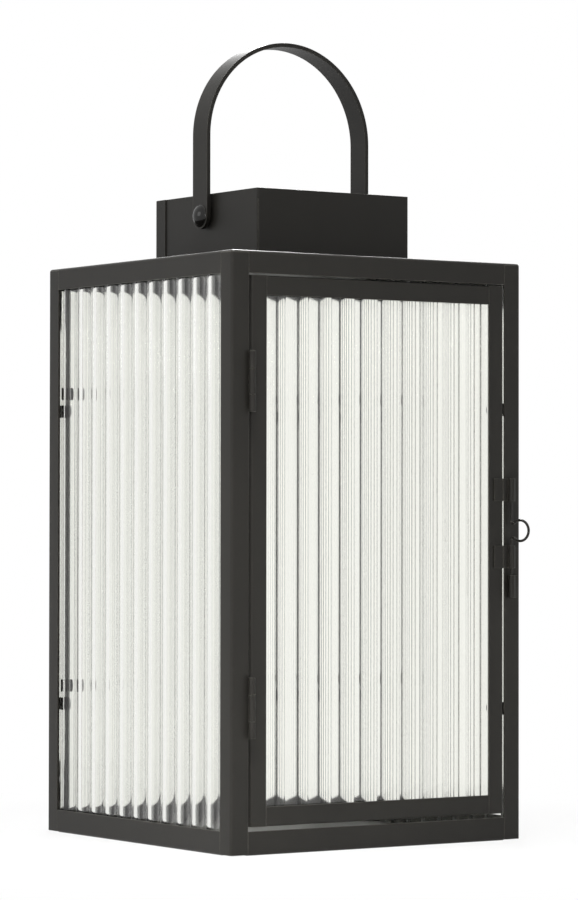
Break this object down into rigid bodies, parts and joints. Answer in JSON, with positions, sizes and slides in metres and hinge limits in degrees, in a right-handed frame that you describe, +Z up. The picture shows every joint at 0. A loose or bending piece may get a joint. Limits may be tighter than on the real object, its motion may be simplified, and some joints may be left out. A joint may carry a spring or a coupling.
{
  "type": "candle lantern",
  "caption": "Square steel candle lantern with fluted glass walls, hinged glass door with pin latch, open chimney and swinging strap handle.",
  "frame": {"origin": "middle of the footprint, on the surface that the lantern stands on", "axes": "+Z up; the door faces -Y, with its hinges on the -X side and its latch on the +X side"},
  "size_m": [0.17, 0.1826, 0.3955],
  "materials": {
    "painted_steel": "satin black paint",
    "gloss_paint": "glossy black paint",
    "latch_wire": "satin black paint",
    "fluted_glass": "clear, fluted outside"
  },
  "bodies": {
    "lantern": {"post_front_left": "painted_steel", "post_front_right": "painted_steel", "post_rear_right": "painted_steel", "post_rear_left": "painted_steel", "roof_pan": "painted_steel", "base_pan": "painted_steel", "chimney_shell": "painted_steel", "chimney_back": "painted_steel", "pane_left": "fluted_glass", "pane_right": "fluted_glass", "pane_rear": "fluted_glass", "pane_tabs_left": "painted_steel", "pane_tabs_right": "painted_steel", "pane_tabs_rear": "painted_steel", "hinge_post_leaf_upper": "painted_steel", "hinge_post_leaf_lower": "painted_steel", "hinge_pin_upper": "painted_steel", "hinge_pin_lower": "painted_steel", "latch_frame_keeper": "painted_steel", "handle_rivet_left": "gloss_paint", "handle_rivet_right": "gloss_paint", "handle_washer_left": "painted_steel", "handle_washer_right": "painted_steel"},
    "door": {"door_stile_hinge": "painted_steel", "door_stile_latch": "painted_steel", "door_rail_top": "painted_steel", "door_rail_bottom": "painted_steel", "door_pane": "fluted_glass", "door_pane_tabs": "painted_steel", "hinge_door_leaf_upper": "painted_steel", "hinge_door_leaf_lower": "painted_steel", "latch_keeper_upper": "painted_steel", "latch_keeper_lower": "painted_steel"},
    "latch": {"latch_wire": "latch_wire"},
    "handle": {"handle_strap": "painted_steel"}
  },
  "joints": [
    {"name": "door_hinge", "type": "hinge", "parent": "lantern", "child": "door", "pos_m": [-0.0747, -0.08705, 0.14], "axis": [0, 0, -1], "range_deg": [0, 180]},
    {"name": "latch_slide", "type": "slide", "parent": "door", "child": "latch", "axis": [0, 0, 1], "range_m": [-0.0025, 0.008]},
    {"name": "handle_swing", "type": "hinge", "parent": "lantern", "child": "handle", "pos_m": [0, 0, 0.3072], "axis": [1, 0, 0], "range_deg": [-100, 100]}
  ]
}
